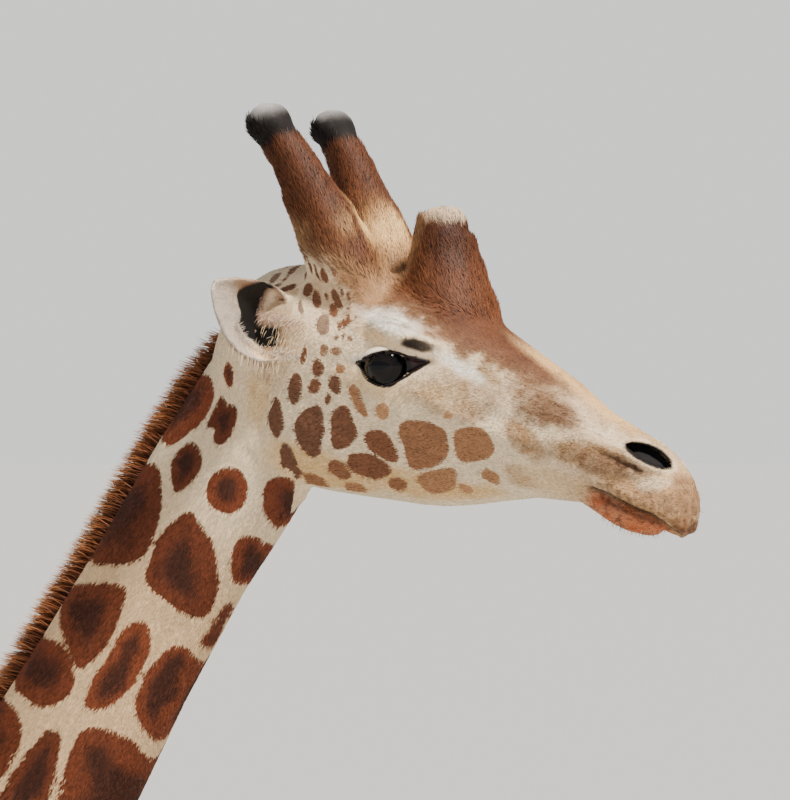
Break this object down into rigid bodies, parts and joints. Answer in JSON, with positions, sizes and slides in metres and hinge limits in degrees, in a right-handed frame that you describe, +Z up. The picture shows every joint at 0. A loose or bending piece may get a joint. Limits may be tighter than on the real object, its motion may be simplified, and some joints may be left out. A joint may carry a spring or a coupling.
{
  "type": "reticulated giraffe",
  "caption": "Life-size adult bull giraffe standing square, neck carried forward, with skin-covered horns, upright mane, cloven hooves and a tufted tail.",
  "frame": {"origin": "on the floor, under the middle of the animal's bounding box", "axes": "+X the way the animal faces, +Y to its left, +Z up"},
  "size_m": [3.4602, 0.7886, 4.8654],
  "materials": {
    "coat": "short flat hair, large brown patches on pale lanes",
    "face": "very short hair, pale with small brown spots",
    "mane": "stiff upright chestnut hair",
    "tuft": "long black hair",
    "horn": "dark horn, worn matt",
    "eye": "wet, near black"
  },
  "bodies": {
    "root": {"ear_left": "coat", "ear_right": "coat", "eye_left": "eye", "eye_right": "eye", "head": "face", "hoof_front_left_inner": "horn", "hoof_front_left_outer": "horn", "hoof_front_right_inner": "horn", "hoof_front_right_outer": "horn", "hoof_hind_left_inner": "horn", "hoof_hind_left_outer": "horn", "hoof_hind_right_inner": "horn", "hoof_hind_right_outer": "horn", "leg_front_left_lower": "coat", "leg_front_left_upper": "coat", "leg_front_right_lower": "coat", "leg_front_right_upper": "coat", "leg_hind_left_lower": "coat", "leg_hind_left_upper": "coat", "leg_hind_right_lower": "coat", "leg_hind_right_upper": "coat", "lower_jaw": "face", "mane": "mane", "neck_lower": "coat", "neck_upper": "coat", "ossicone_left": "coat", "ossicone_median": "coat", "ossicone_right": "coat", "tail": "coat", "tail_switch": "tuft", "trunk": "coat"}
  },
  "joints": []
}
